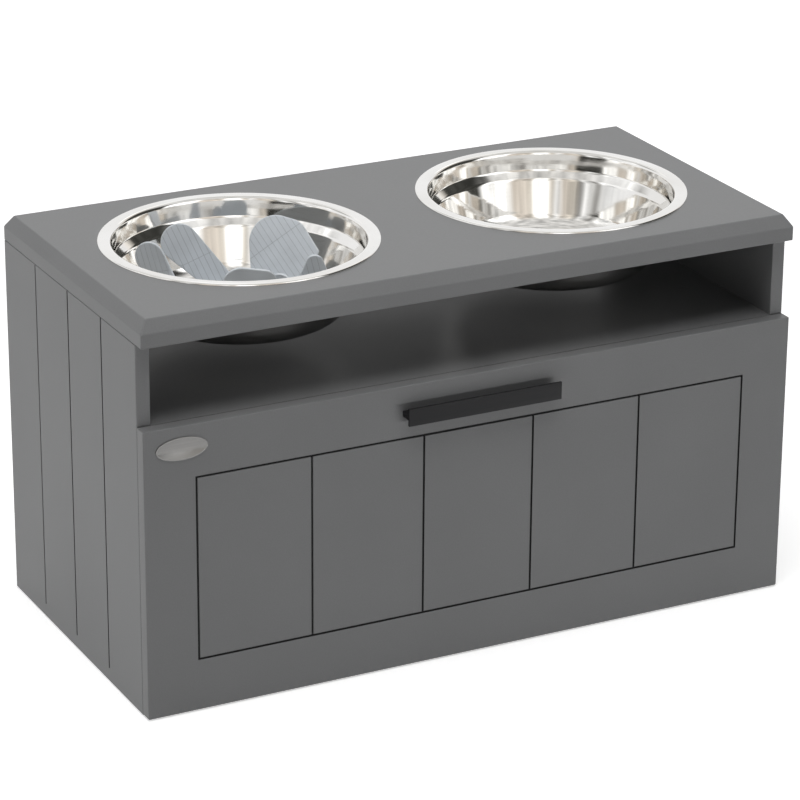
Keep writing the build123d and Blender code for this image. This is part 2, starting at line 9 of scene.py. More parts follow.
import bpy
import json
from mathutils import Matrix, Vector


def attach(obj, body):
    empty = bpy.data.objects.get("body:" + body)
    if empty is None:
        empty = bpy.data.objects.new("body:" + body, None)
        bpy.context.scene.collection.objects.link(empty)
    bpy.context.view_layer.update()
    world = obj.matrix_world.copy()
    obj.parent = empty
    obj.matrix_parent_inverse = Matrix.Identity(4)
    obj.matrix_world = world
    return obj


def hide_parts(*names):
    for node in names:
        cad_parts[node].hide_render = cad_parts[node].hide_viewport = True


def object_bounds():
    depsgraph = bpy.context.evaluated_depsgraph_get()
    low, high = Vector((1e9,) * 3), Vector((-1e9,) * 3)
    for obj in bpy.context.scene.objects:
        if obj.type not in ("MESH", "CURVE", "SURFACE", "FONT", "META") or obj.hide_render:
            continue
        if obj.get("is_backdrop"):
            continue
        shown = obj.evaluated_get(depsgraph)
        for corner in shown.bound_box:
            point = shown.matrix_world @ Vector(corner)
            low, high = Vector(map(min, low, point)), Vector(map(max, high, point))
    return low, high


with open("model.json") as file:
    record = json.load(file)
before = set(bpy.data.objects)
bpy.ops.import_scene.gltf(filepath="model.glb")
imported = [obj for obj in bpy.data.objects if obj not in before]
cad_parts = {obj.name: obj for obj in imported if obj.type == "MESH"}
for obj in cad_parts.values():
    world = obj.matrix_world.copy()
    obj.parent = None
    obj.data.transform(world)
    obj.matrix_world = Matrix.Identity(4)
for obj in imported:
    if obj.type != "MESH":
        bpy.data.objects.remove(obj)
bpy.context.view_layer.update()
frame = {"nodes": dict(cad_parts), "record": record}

# %% Modules
import json
from math import cos, pi, radians, sin

import bmesh
import bpy
from mathutils import Matrix, Vector

MM = 0.001

# %% [markdown]
# ## Camera
# A long lens flattens perspective, as product views do. We place the camera
# to the left of the feeder and above it, and aim it with the same three
# angles that a tripod head has: it turns to the right, tips down and leans a
# touch. The lens is 160 mm on the usual 36 mm sensor.

# %% Place the camera
CAMERA_SPOT = (-1.3002, -2.5380, 1.3046)
CAMERA_TURN = 0.47301
CAMERA_TIP = 0.37628
CAMERA_LEAN = 0.00682
LENS = 160.4

ahead = Vector((sin(CAMERA_TURN), cos(CAMERA_TURN), 0)) * cos(CAMERA_TIP)
ahead.z = -sin(CAMERA_TIP)
level = Vector((cos(CAMERA_TURN), -sin(CAMERA_TURN), 0))
overhead = level.cross(ahead)
right = cos(CAMERA_LEAN) * level + sin(CAMERA_LEAN) * overhead
up = cos(CAMERA_LEAN) * overhead - sin(CAMERA_LEAN) * level

lens = bpy.data.cameras.new("camera")
lens.lens = LENS
lens.sensor_width = 36
camera = bpy.data.objects.new("camera", lens)
bpy.context.scene.collection.objects.link(camera)
camera.matrix_world = Matrix((right, up, -ahead)).transposed().to_4x4()
camera.location = CAMERA_SPOT
bpy.context.scene.camera = camera
print("camera at", CAMERA_SPOT)

# %% [markdown]
# ## Tools for modelling
# An operator works on whatever is selected, so each step begins by choosing.
# These few helpers choose a piece, or choose faces and edges of it by where
# they are and which way they face, which never depends on their numbering.

# %% Choose pieces, faces and edges
def only(piece):
    """Selects one piece and nothing else."""
    bpy.ops.object.select_all(action="DESELECT")
    piece.select_set(True)
    bpy.context.view_layer.objects.active = piece


def edit(piece, kind="FACE"):
    """Opens one piece in edit mode with nothing selected in it."""
    only(piece)
    bpy.ops.object.mode_set(mode="EDIT")
    bpy.ops.mesh.select_mode(type=kind)
    bpy.ops.mesh.select_all(action="DESELECT")


def done():
    bpy.ops.object.mode_set(mode="OBJECT")


def pick_faces(piece, test):
    """Selects the faces whose middle and normal pass the test."""
    mesh = bmesh.from_edit_mesh(piece.data)
    for face in mesh.faces:
        face.select_set(test(face.calc_center_median(), face.normal))
    bmesh.update_edit_mesh(piece.data)


def pick_edges(piece, test):
    """Selects the edges whose two ends pass the test."""
    mesh = bmesh.from_edit_mesh(piece.data)
    for edge in mesh.edges:
        edge.select_set(test(edge.verts[0].co, edge.verts[1].co))
    bmesh.update_edit_mesh(piece.data)


# %% Start a block, cut it and sink parts of it
def block(name, low, high, edge):
    """A block between two corners, all its edges rounded when an edge width is given."""
    size = Vector(high) - Vector(low)
    bpy.ops.object.select_all(action="DESELECT")
    bpy.ops.mesh.primitive_cube_add(size=1, location=Vector(low) + size / 2, scale=size)
    piece = bpy.context.active_object
    piece.name = name
    bpy.ops.object.transform_apply(location=True, rotation=True, scale=True)
    if edge:
        round_off(piece, edge)
    return piece


def round_off(piece, width, test=None, segments=3):
    """Rounds all the edges of a piece, or the ones that pass a test."""
    edit(piece, "EDGE")
    if test:
        pick_edges(piece, test)
    else:
        bpy.ops.mesh.select_all(action="SELECT")
    bpy.ops.mesh.bevel(offset=width, segments=segments, affect="EDGES")
    done()


def score(piece, points, normal):
    """Cuts the surface right round in a plane through each of the points."""
    edit(piece)
    for point in points:
        bpy.ops.mesh.select_all(action="SELECT")
        bpy.ops.mesh.bisect(plane_co=point, plane_no=normal)
    done()


def push(piece, test, move):
    """Extrudes the chosen faces by a move."""
    edit(piece)
    pick_faces(piece, test)
    bpy.ops.mesh.extrude_region_move(TRANSFORM_OT_translate={"value": move})
    done()


def carve(piece, cutter):
    """Takes one piece out of another."""
    only(piece)
    bite = piece.modifiers.new("bite", "BOOLEAN")
    bite.operation = "DIFFERENCE"
    bite.solver = "EXACT"
    bite.object = cutter
    bpy.ops.object.modifier_apply(modifier="bite")
    bpy.data.objects.remove(cutter)


def soft_lips(piece, width):
    """Takes the sharpness off the corners that are still square."""
    edit(piece, "EDGE")
    bpy.ops.mesh.edges_select_sharp(sharpness=radians(50))
    bpy.ops.mesh.bevel(offset=width, segments=2, affect="EDGES")
    done()


def keep_flats(piece):
    """Shades rounded edges smooth while the large faces stay dead flat."""
    only(piece)
    bpy.ops.object.shade_smooth()
    weights = piece.modifiers.new("flats", "WEIGHTED_NORMAL")
    weights.mode = "FACE_AREA"
    weights.weight = 100
    weights.keep_sharp = True
    bpy.ops.object.modifier_apply(modifier="flats")


def finish_piece(piece, body, node, slot, *finishes, flats=False):
    """Smooth shading, finishes, body and the CAD node that it stands for."""
    only(piece)
    bpy.ops.object.shade_smooth_by_angle(angle=radians(40))
    if flats:
        keep_flats(piece)
    for finish in finishes:
        piece.data.materials.append(finish)
    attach(piece, body)
    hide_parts(node)
    print(piece.name, len(piece.data.polygons), "faces")


# %% [markdown]
# ## Finishes
# Every finish is a small network of nodes on the Principled shader. Noise in
# the object's own coordinates varies colour, roughness and height, so no
# surface is one flat colour. A scale of 1 there means one metre, so a noise
# scale of 700 has grains a little over a millimetre apart.

# %% Node helpers
def new_finish(name, roughness, metallic=0.0):
    """A material with its Principled shader, and its object coordinates."""
    material = bpy.data.materials.new(name)
    material.use_nodes = True
    nodes = material.node_tree.nodes
    shader = nodes["Principled BSDF"]
    shader.inputs["Roughness"].default_value = roughness
    shader.inputs["Metallic"].default_value = metallic
    places = nodes.new("ShaderNodeTexCoord")
    return material, shader, places.outputs["Object"]


def add(material, kind, **values):
    """A node with some of its settings or inputs given."""
    node = material.node_tree.nodes.new("ShaderNode" + kind)
    for name, value in values.items():
        if hasattr(node, name):
            setattr(node, name, value)
        else:
            node.inputs[name.replace("_", " ")].default_value = value
    return node


def noise(material, places, scale, detail=2.0, stretch=(1, 1, 1)):
    """Noise that may be stretched along an axis, as grey values."""
    mapping = add(material, "Mapping", Scale=stretch)
    texture = add(material, "TexNoise", Scale=scale, Detail=detail)
    material.node_tree.links.new(places, mapping.inputs["Vector"])
    material.node_tree.links.new(mapping.outputs["Vector"], texture.inputs["Vector"])
    return texture.outputs["Fac"]


def spread(material, value, low, high, narrow=(0.3, 0.7)):
    """Turns grey values into a range of numbers."""
    node = add(material, "MapRange")
    for name, number in zip(("From Min", "From Max", "To Min", "To Max"), (*narrow, low, high)):
        node.inputs[name].default_value = number
    material.node_tree.links.new(value, node.inputs["Value"])
    return node.outputs["Result"]


def blend_colours(material, value, first, second, narrow=(0.3, 0.7)):
    """A colour between two, chosen by grey values."""
    ramp = add(material, "ValToRGB")
    for element, place, colour in zip(ramp.color_ramp.elements, narrow, (first, second)):
        element.position = place
        element.color = (*colour, 1)
    material.node_tree.links.new(value, ramp.inputs["Fac"])
    return ramp.outputs["Color"]


def bumps(material, shader, height, depth):
    """Gives the surface fine relief, with its depth in metres."""
    bump = add(material, "Bump", Strength=1.0, Distance=depth)
    material.node_tree.links.new(height, bump.inputs["Height"])
    material.node_tree.links.new(bump.outputs["Normal"], shader.inputs["Normal"])


def shade(grey, warm=0.0):
    """A grey colour, a little warmer or cooler."""
    return (grey * (1 + warm), grey, grey * (1 - warm))


# %% [markdown]
# ### Paint on board
# The boards are fibreboard with a satin grey paint. Sprayed paint has a very
# fine orange peel, which one noise raises, and faint specks, which a finer one
# tints. A broad noise lets its colour and gloss drift a little over a panel.

# %% Grey paint
def paint(name, grey, roughness):
    material, shader, places = new_finish(name, roughness)
    shader.inputs["Specular IOR Level"].default_value = 0.11
    link = material.node_tree.links.new
    cloud = noise(material, places, 9, detail=3)
    fine = noise(material, places, 900, detail=1)
    peel = noise(material, places, 420, detail=2)
    colour = blend_colours(material, cloud, shade(grey * 0.97, -0.01), shade(grey * 1.03, -0.01))
    speck = blend_colours(material, fine, shade(0.94), shade(1.0))
    mix = add(material, "Mix", data_type="RGBA", blend_type="MULTIPLY")
    mix.inputs["Factor"].default_value = 1.0
    link(colour, mix.inputs[6])
    link(speck, mix.inputs[7])
    link(mix.outputs[2], shader.inputs["Base Color"])
    link(spread(material, cloud, roughness - 0.04, roughness + 0.05), shader.inputs["Roughness"])
    bumps(material, shader, peel, 0.00004)
    return material


GREY_PAINT = paint("grey_paint", 0.19, 0.33)
# painted shade: a near-black copy of the paint for the bottoms of the grooves, where little light
# reaches
GROOVE_PAINTED_SHADE = paint("groove_painted_shade", 0.022, 0.6)


# %% [markdown]
# ### Polished steel
# The bowls are polished stainless steel: a mirror that waves a little, with
# flat spun bands and very faint rings from the polishing wheel. Two noises make
# the waves and bands. The rings are a wave texture round the middle of each
# bowl, so each bowl has a finish of its own, centred by a Mapping node.

# %% Steel finishes
def bowl_steel(name, middle_x, middle_y):
    material, shader, places = new_finish(name, 0.07, 1.0)
    link = material.node_tree.links.new
    centre = add(material, "Mapping", Location=(-middle_x, -middle_y, 0))
    rings = add(
        material, "TexWave", wave_type="RINGS", rings_direction="Z", Scale=300.0, Distortion=1.5
    )
    link(places, centre.inputs["Vector"])
    link(centre.outputs["Vector"], rings.inputs["Vector"])
    smear = noise(material, places, 14, detail=4)
    colour = blend_colours(material, smear, (0.78, 0.768, 0.745), (0.865, 0.86, 0.85))
    link(colour, shader.inputs["Base Color"])
    link(spread(material, smear, 0.05, 0.10), shader.inputs["Roughness"])
    dents = noise(material, places, 26, detail=2, stretch=(1, 1, 0.5))
    bands = noise(material, places, 40, detail=3, stretch=(0.15, 0.15, 4))
    uneven = add(material, "Mix", Factor=0.12)
    link(dents, uneven.inputs["A"])
    link(bands, uneven.inputs["B"])
    relief = add(material, "Mix", Factor=0.006)
    link(uneven.outputs["Result"], relief.inputs["A"])
    link(rings.outputs["Fac"], relief.inputs["B"])
    bumps(material, shader, relief.outputs["Result"], 0.0003)
    return material


def worked_metal(name, colour, roughness, grain, stretch=(1, 1, 1), metallic=1.0, shine=0.5):
    """Rolled, plated or cast metal with fine noise in its gloss and height."""
    material, shader, places = new_finish(name, roughness, metallic)
    shader.inputs["Specular IOR Level"].default_value = shine
    link = material.node_tree.links.new
    fine = noise(material, places, grain, detail=3, stretch=stretch)
    dark = tuple(0.86 * value for value in colour)
    link(blend_colours(material, fine, dark, colour), shader.inputs["Base Color"])
    link(spread(material, fine, roughness * 0.75, roughness * 1.3), shader.inputs["Roughness"])
    bumps(material, shader, fine, 0.00002)
    return material


PLATED_STEEL = worked_metal("plated_steel", (0.56, 0.56, 0.58), 0.28, 600)
ZINC_CASTING = worked_metal("zinc_casting", (0.44, 0.45, 0.47), 0.45, 900)
RAIL_STEEL = worked_metal("rail_steel", (0.60, 0.60, 0.62), 0.25, 260, stretch=(1, 0.05, 1))
BALL_STEEL = worked_metal("ball_steel", (0.76, 0.76, 0.77), 0.06, 300)
BLACK_ALUMINIUM = worked_metal(
    "black_aluminium", (0.010, 0.010, 0.011), 0.42, 1400, metallic=0.0, shine=0.22
)
SATIN_PLATE = worked_metal("satin_plate", (0.22, 0.217, 0.212), 0.34, 500, stretch=(0.03, 1, 1))

# %% [markdown]
# ### Silicone, beech and hardboard
# The slow feeder insert is soft grey silicone: matt, a touch cool, with a
# faint sheen. The dowels are pale beech with grain along them, and the drawer
# bottom is hardboard under a light film.

# %% Soft and wooden finishes
def silicone(name, grey):
    material, shader, places = new_finish(name, 0.5)
    link = material.node_tree.links.new
    shader.inputs["Sheen Weight"].default_value = 0.15
    cloud = noise(material, places, 60, detail=3)
    fine = noise(material, places, 1500, detail=1)
    colour = blend_colours(material, cloud, shade(grey * 0.95, -0.05), shade(grey * 1.05, -0.05))
    link(colour, shader.inputs["Base Color"])
    link(spread(material, fine, 0.44, 0.56), shader.inputs["Roughness"])
    bumps(material, shader, fine, 0.00002)
    return material


def wood(name, light, dark, stretch):
    material, shader, places = new_finish(name, 0.6)
    link = material.node_tree.links.new
    grain = noise(material, places, 220, detail=4, stretch=stretch)
    link(blend_colours(material, grain, dark, light), shader.inputs["Base Color"])
    bumps(material, shader, grain, 0.00005)
    return material


SILICONE = silicone("grey_silicone", 0.64)
# painted shade: a darker copy of the silicone for the bottoms of the leaf ridges
RIDGE_SHADE = silicone("ridge_shade", 0.42)
BEECH = wood("beech", (0.58, 0.41, 0.23), (0.46, 0.30, 0.15), (0.08, 1, 1))
HARDBOARD = wood("hardboard_film", (0.44, 0.44, 0.45), (0.40, 0.40, 0.41), (1, 1, 1))

# %% Dress the CAD pieces that keep their own mesh
SLOT_FINISH = {
    "grey_painted_board": GREY_PAINT,
    "grey_cap_plastic": GREY_PAINT,
    "white_hardboard": HARDBOARD,
    "plated_steel": PLATED_STEEL,
    "zinc_casting": ZINC_CASTING,
    "beech_dowel": BEECH,
    "zinc_plated_rail": RAIL_STEEL,
    "polished_ball_steel": BALL_STEEL,
}
for part in frame["record"]["subparts"]:
    finish = SLOT_FINISH.get(part["material_slot"])
    if finish:
        node = frame["nodes"][part["node"]]
        node.data.materials.clear()
        node.data.materials.append(finish)

# %% [markdown]
# ## Cabinet
# The top is a thick board with a steep bevel all round and two round holes.
# A bevel that runs further down than in is quickest by extruding the upper
# face and shrinking it, and the holes are cut with a boolean.

# %% Sizes shared by the cabinet boards
HALF_WIDE = 300 * MM
FRONT = -141 * MM  # drawer face
BACK = 153 * MM
BOARD = 12 * MM
SURFACE = 344 * MM
UNDER_TOP = SURFACE - 22.5 * MM
EDGE = 0.9 * MM  # how far the painted edges are rounded
LIP_EDGE = 0.25 * MM  # and the lips of the grooves
GROOVE_HALF = 0.9 * MM
GROOVE_DEEP = 1.5 * MM
BOWL_X = 147.6 * MM
BOWL_Y = 8 * MM

# %% The top board
BEVEL_IN = 6.8 * MM
BEVEL_DOWN = 10.2 * MM
CUTOUT_RADIUS = 108.2 * MM
THROUGH = 0.1  # a cutter this tall passes right through the board
depth = BACK - FRONT
top = block("top_board", (-HALF_WIDE, FRONT, UNDER_TOP), (HALF_WIDE, BACK, SURFACE - BEVEL_DOWN), 0)
push(top, lambda place, normal: normal.z > 0.9, (0, 0, BEVEL_DOWN))
edit(top)
pick_faces(top, lambda place, normal: normal.z > 0.9)
bpy.ops.transform.resize(value=(1 - BEVEL_IN / HALF_WIDE, 1 - 2 * BEVEL_IN / depth, 1))
done()
round_off(top, EDGE)
for side in (-1, 1):
    bpy.ops.object.select_all(action="DESELECT")
    bpy.ops.mesh.primitive_cylinder_add(
        vertices=192, radius=CUTOUT_RADIUS, depth=THROUGH, location=(side * BOWL_X, BOWL_Y, SURFACE)
    )
    carve(top, bpy.context.active_object)
finish_piece(top, "cabinet", "top_panel", "grey_painted_board", GREY_PAINT, flats=True)

# %% [markdown]
# Each side board has three upright grooves that make it look planked. We
# score the outer face along both lips of every groove and push the narrow
# strips in. The strips get a near-black finish that is painted shade: it
# darkens the bottom of each groove, where little light reaches.

# %% The side boards
def in_groove(value, middles):
    return any(abs(value - middle) < GROOVE_HALF for middle in middles)


def paint_groove_shade(piece, test):
    """Gives the chosen faces the piece's second finish, the near-black painted shade of the groove
    bottoms.
    """
    for face in piece.data.polygons:
        if test(face.center):
            face.material_index = 1


INNER_FRONT = FRONT + BOARD
PLANK = (BACK - INNER_FRONT) / 4
SIDE_GROOVES = [INNER_FRONT + PLANK * k for k in (1, 2, 3)]
GROOVE_START = 12 * MM
COVER_CAPS_Y = (-94 * MM, 102 * MM)
COVER_CAPS_Z = UNDER_TOP - 20 * MM
CAP_HOLE_RADIUS = 6.08 * MM
CAP_HOLE_LONG = 18.4 * MM  # half of it is in the board
NEAR_FACE = 0.4 * MM  # a groove's bottom lies deeper than this
FAR_FROM_FACE = 2 * MM  # and less deep than this
SIDES = (("left_side_board", "left_side_panel", -1), ("right_side_board", "right_side_panel", 1))
for name, node, out in SIDES:
    face_x, inner_x = out * HALF_WIDE, out * (HALF_WIDE - BOARD)
    low = (min(face_x, inner_x), INNER_FRONT, 0)
    high = (max(face_x, inner_x), BACK, UNDER_TOP)
    side = block(name, low, high, EDGE)
    lips = [y + step for y in SIDE_GROOVES for step in (-GROOVE_HALF, GROOVE_HALF)]
    score(side, [(0, y, 0) for y in lips], (0, 1, 0))
    score(side, [(0, 0, GROOVE_START)], (0, 0, 1))
    push(
        side,
        lambda place, normal: normal.x * out > 0.9
        and in_groove(place.y, SIDE_GROOVES)
        and place.z > GROOVE_START,
        (-out * GROOVE_DEEP, 0, 0),
    )
    soft_lips(side, LIP_EDGE)
    for y in COVER_CAPS_Y:
        bpy.ops.object.select_all(action="DESELECT")
        bpy.ops.mesh.primitive_cylinder_add(
            vertices=48,
            radius=CAP_HOLE_RADIUS,
            depth=CAP_HOLE_LONG,
            rotation=(0, pi / 2, 0),
            location=(inner_x, y, COVER_CAPS_Z),
        )
        carve(side, bpy.context.active_object)
    finish_piece(side, "cabinet", node, "grey_painted_board", GREY_PAINT, GROOVE_PAINTED_SHADE, flats=True)
    # painted shade on the groove bottoms of the side board
    paint_groove_shade(
        side,
        lambda place: in_groove(place.y, SIDE_GROOVES)
        and HALF_WIDE - FAR_FROM_FACE < abs(place.x) < HALF_WIDE - NEAR_FACE
        and place.z > GROOVE_START,
    )

# %% [markdown]
# ## Drawer
# The drawer front covers the whole width. A grooved frame with four uprights
# in it gives five planks. Scoring the board in both directions makes a grid,
# and the narrow cells that belong to the frame are pushed in together.

# %% The drawer front
SHELF_TOP = 252.2 * MM
FRONT_LIFT = 0.8 * MM  # the drawer front clears the floor
FRAME_X = 254.6 * MM
FRAME_Z = (46.3 * MM, 206 * MM)
UPRIGHTS = [-FRAME_X + k * 2 * FRAME_X / 5 for k in range(6)]


def in_frame(place):
    """True inside the grooves of the frame and its uprights."""
    across = in_groove(place.z, FRAME_Z) and abs(place.x) < FRAME_X + GROOVE_HALF
    upright = in_groove(place.x, UPRIGHTS) and FRAME_Z[0] < place.z < FRAME_Z[1]
    return across or upright


face = block(
    "drawer_face", (-HALF_WIDE, FRONT, FRONT_LIFT), (HALF_WIDE, INNER_FRONT, SHELF_TOP), EDGE
)
both_lips = (-GROOVE_HALF, GROOVE_HALF)
score(face, [(x + step, 0, 0) for x in UPRIGHTS for step in both_lips], (1, 0, 0))
score(face, [(0, 0, z + step) for z in FRAME_Z for step in both_lips], (0, 0, 1))
push(face, lambda place, normal: normal.y < -0.9 and in_frame(place), (0, GROOVE_DEEP, 0))
soft_lips(face, LIP_EDGE)
finish_piece(
    face, "drawer", "drawer_front", "grey_painted_board", GREY_PAINT, GROOVE_PAINTED_SHADE, flats=True
)
# painted shade on the groove bottoms of the drawer front's frame
paint_groove_shade(
    face,
    lambda place: in_frame(place) and FRONT + NEAR_FACE < place.y < FRONT + FAR_FROM_FACE,
)

# %% [markdown]
# The handle is a T in section: an upright plate on a level stem. It starts as
# the plate, whose back is scored along the stem's two lines, and the strip
# between them is extruded back to the drawer.

# %% The handle
HANDLE_HALF = 71 * MM
HANDLE_Z = 228.4 * MM
PLATE_HALF = 7.7 * MM
STEM_HALF = 2.5 * MM
HANDLE_FRONT = FRONT - 12 * MM
PLATE_BACK = HANDLE_FRONT + 2.2 * MM
handle = block(
    "handle_bar",
    (-HANDLE_HALF, HANDLE_FRONT, HANDLE_Z - PLATE_HALF),
    (HANDLE_HALF, PLATE_BACK, HANDLE_Z + PLATE_HALF),
    0,
)
score(handle, [(0, 0, HANDLE_Z - STEM_HALF), (0, 0, HANDLE_Z + STEM_HALF)], (0, 0, 1))
push(
    handle,
    lambda place, normal: normal.y > 0.9 and abs(place.z - HANDLE_Z) < STEM_HALF,
    (0, FRONT - PLATE_BACK, 0),
)
soft_lips(handle, 0.5 * MM)
finish_piece(handle, "drawer", "drawer_handle", "black_handle", BLACK_ALUMINIUM)

# %% [markdown]
# A small blank oval plate sits in the upper corner of the drawer front. It is
# a flat cylinder, stretched to an oval, with its middle sunk a little so that
# a raised border runs round it.

# %% The blank badge
BADGE_THICK = 0.8 * MM
BADGE_SPOT = (-267 * MM, FRONT - BADGE_THICK / 2, 233 * MM)
BADGE_HALVES = (22.5 * MM, 9.8 * MM, 1)
BORDER = 1.3 * MM
STEP_WIDE, STEP_DEEP = 0.3 * MM, 0.25 * MM
bpy.ops.object.select_all(action="DESELECT")
bpy.ops.mesh.primitive_cylinder_add(
    vertices=96,
    radius=1,
    depth=BADGE_THICK,
    end_fill_type="NGON",
    location=BADGE_SPOT,
    rotation=(pi / 2, 0, 0),
)
badge = bpy.context.active_object
badge.name = "blank_badge"
badge.scale = BADGE_HALVES
bpy.ops.object.transform_apply(location=True, rotation=True, scale=True)
edit(badge)
pick_faces(badge, lambda place, normal: normal.y < -0.9)
bpy.ops.mesh.inset(thickness=BORDER, depth=0)
bpy.ops.mesh.inset(thickness=STEP_WIDE, depth=-STEP_DEEP)
done()
round_off(
    badge,
    0.2 * MM,
    lambda a, b: max(a.y, b.y) < FRONT - 0.7 * MM and (a - b).length < 2.5 * MM,
    segments=2,
)
finish_piece(badge, "drawer", "front_badge", "satin_badge", SATIN_PLATE)

# %% [markdown]
# ## Bowls
# Metal bowls are spun: a flat disc is turned on a lathe and pressed over a
# form. We do the same. One line of points is drawn from the middle of the
# floor out to the rim, its corners are rounded, and a full turn of it about
# the bowl's axis makes the inner skin. Solidify then gives the sheet its
# thickness, on the outside.

# %% Draw a section and turn it
SHEET = 0.8 * MM
BOWL_SECTION = (
    # distance from the axis, height from the cabinet's top, size of the bend
    (0, -63.0, 0),
    (50.2, -63.0, 0.5),
    (51.8, -64.2, 0.5),
    (86.9, -64.2, 14.0),
    (99.6, -22.2, 1.6),
    (105.2, -15.7, 1.2),
    (106.0, 1.8, 3.2),
    (117.5, 1.8, 1.2),
    (117.5, 0, 0),
)


def draw_section(name, centre, points):
    """A chain of edges through the points, with some of its corners rounded."""
    places = [Vector(centre) + Vector((r * MM, 0, z * MM)) for r, z, bend in points]
    bpy.ops.object.select_all(action="DESELECT")
    bpy.ops.mesh.primitive_plane_add(size=MM, location=places[0])
    piece = bpy.context.active_object
    piece.name = name
    bpy.ops.object.transform_apply(location=True, rotation=True, scale=True)
    bpy.ops.object.mode_set(mode="EDIT")
    bpy.ops.mesh.select_mode(type="VERT")
    bpy.ops.mesh.select_all(action="SELECT")
    bpy.ops.mesh.merge(type="CENTER")
    for start, end in zip(places, places[1:]):
        bpy.ops.mesh.extrude_vertices_move(TRANSFORM_OT_translate={"value": end - start})
    for place, (r, z, bend) in zip(places, points):
        if bend:
            mesh = bmesh.from_edit_mesh(piece.data)
            for vertex in mesh.verts:
                vertex.select_set((vertex.co - place).length < 0.01 * MM)
            bmesh.update_edit_mesh(piece.data)
            steps = max(3, round(bend * 1.2))
            bpy.ops.mesh.bevel(offset=bend * MM, segments=steps, affect="VERTICES")
    bpy.ops.object.mode_set(mode="OBJECT")
    return piece


def turn_section(piece, centre, steps):
    """Spins the whole section once round the upright axis and closes it."""
    edit(piece, "VERT")
    bpy.ops.mesh.select_all(action="SELECT")
    bpy.ops.mesh.spin(steps=steps, angle=2 * pi, center=centre, axis=(0, 0, 1))
    bpy.ops.mesh.select_all(action="SELECT")
    bpy.ops.mesh.remove_doubles(threshold=0.005 * MM)
    bpy.ops.mesh.normals_make_consistent(inside=False)
    done()


def face_up(piece, near):
    """Turns the skin over if its lowest faces look down."""
    low = min(piece.data.polygons, key=lambda face: (face.center - Vector(near)).length)
    if low.normal.z < 0:
        edit(piece)
        bpy.ops.mesh.select_all(action="SELECT")
        bpy.ops.mesh.flip_normals()
        done()


def thicken(piece, thickness):
    only(piece)
    wall = piece.modifiers.new("wall", "SOLIDIFY")
    wall.thickness = thickness
    wall.offset = -1
    bpy.ops.object.modifier_apply(modifier="wall")


# %% Two bowls
BOWL_FLOOR = SURFACE + BOWL_SECTION[0][1] * MM
BOWLS = (("left_steel_bowl", "left_bowl", -BOWL_X), ("right_steel_bowl", "right_bowl", BOWL_X))
for name, body, x in BOWLS:
    centre = (x, BOWL_Y, SURFACE)
    bowl = draw_section(name, centre, BOWL_SECTION)
    turn_section(bowl, centre, 192)
    face_up(bowl, (x, BOWL_Y, BOWL_FLOOR))
    thicken(bowl, SHEET)
    steel = bowl_steel(name + "_steel", x, BOWL_Y)
    finish_piece(bowl, body, body, "polished_stainless", steel)

# %% [markdown]
# ## Slow feeder insert
# The insert is one soft moulding: a disc with upright leaves that a dog has to
# eat around. Each leaf is drawn flat, as the skin stretched round a straight
# foot and one or more round bulges, which is exactly what a convex hull does.
# Fine ridges are scored in it, it is curled a little, and then it is stood up
# on the disc.

# %% The leaves, in millimetres from the middle of the bowl
DISC_TOP = -59.9 * MM
LEAF_THICK = 2.6 * MM
RIDGE_PITCH = 4.9 * MM
RIDGE_HALF = 0.2 * MM
RIDGE_DEEP = 0.22 * MM
RIDGE_START = 3 * MM  # the foot of the leaf stays smooth
CROSSING = 7 * MM  # the groove that crosses them, above the middle of the leaf
CURL_STEP = 3.5 * MM  # between the level cuts that let the leaf curl
LEAVES = (
    # foot, tip, drop of the tip, turn, width of the foot, slant of the ridges, curl, bulges
    ((-46, 25), (-66, 38), 6, -50, 24, 16, 8, [(0, 14, 14)]),
    ((9, 53), (-24, 69), 5, -20, 28, 24, 10, [(0, 16, 16)]),
    ((44, 35), (57, 43), 4, -42, 32, 40, 10, [(-3, 20, 23), (8, 16, 17), (33, 25, 3)]),
    ((40, -31), (47, -46), 5, -25, 24, 12, -6, [(0, 7, 7), (0, 25, 13)]),
    ((-11, -45), (-14, -51), 4.5, -18, 36, None, -8, [(-8, 14, 14), (10, 15, 12)]),
    ((14, -50), (11, -56), 15, -45, 16, None, 4, [(0, 10, 10)]),
)
insert_centre = Vector((-BOWL_X, BOWL_Y, SURFACE))


def flat_leaf(foot_wide, bulges):
    """The leaf lying on its back, foot along X at the origin."""
    bpy.ops.object.select_all(action="DESELECT")
    bpy.ops.mesh.primitive_cube_add(
        size=1, location=(0, MM, 0), scale=(foot_wide * MM, 2 * MM, LEAF_THICK)
    )
    piece = bpy.context.active_object
    bpy.ops.object.transform_apply(location=True, rotation=True, scale=True)
    bpy.ops.object.mode_set(mode="EDIT")
    for sideways, along, radius in bulges:
        bpy.ops.mesh.primitive_cylinder_add(
            vertices=72, radius=radius * MM, depth=LEAF_THICK, location=(sideways * MM, along * MM, 0)
        )
    bpy.ops.mesh.select_all(action="SELECT")
    bpy.ops.mesh.convex_hull()
    bpy.ops.mesh.select_all(action="SELECT")
    bpy.ops.mesh.dissolve_limited(angle_limit=radians(0.5))
    bpy.ops.object.mode_set(mode="OBJECT")
    return piece


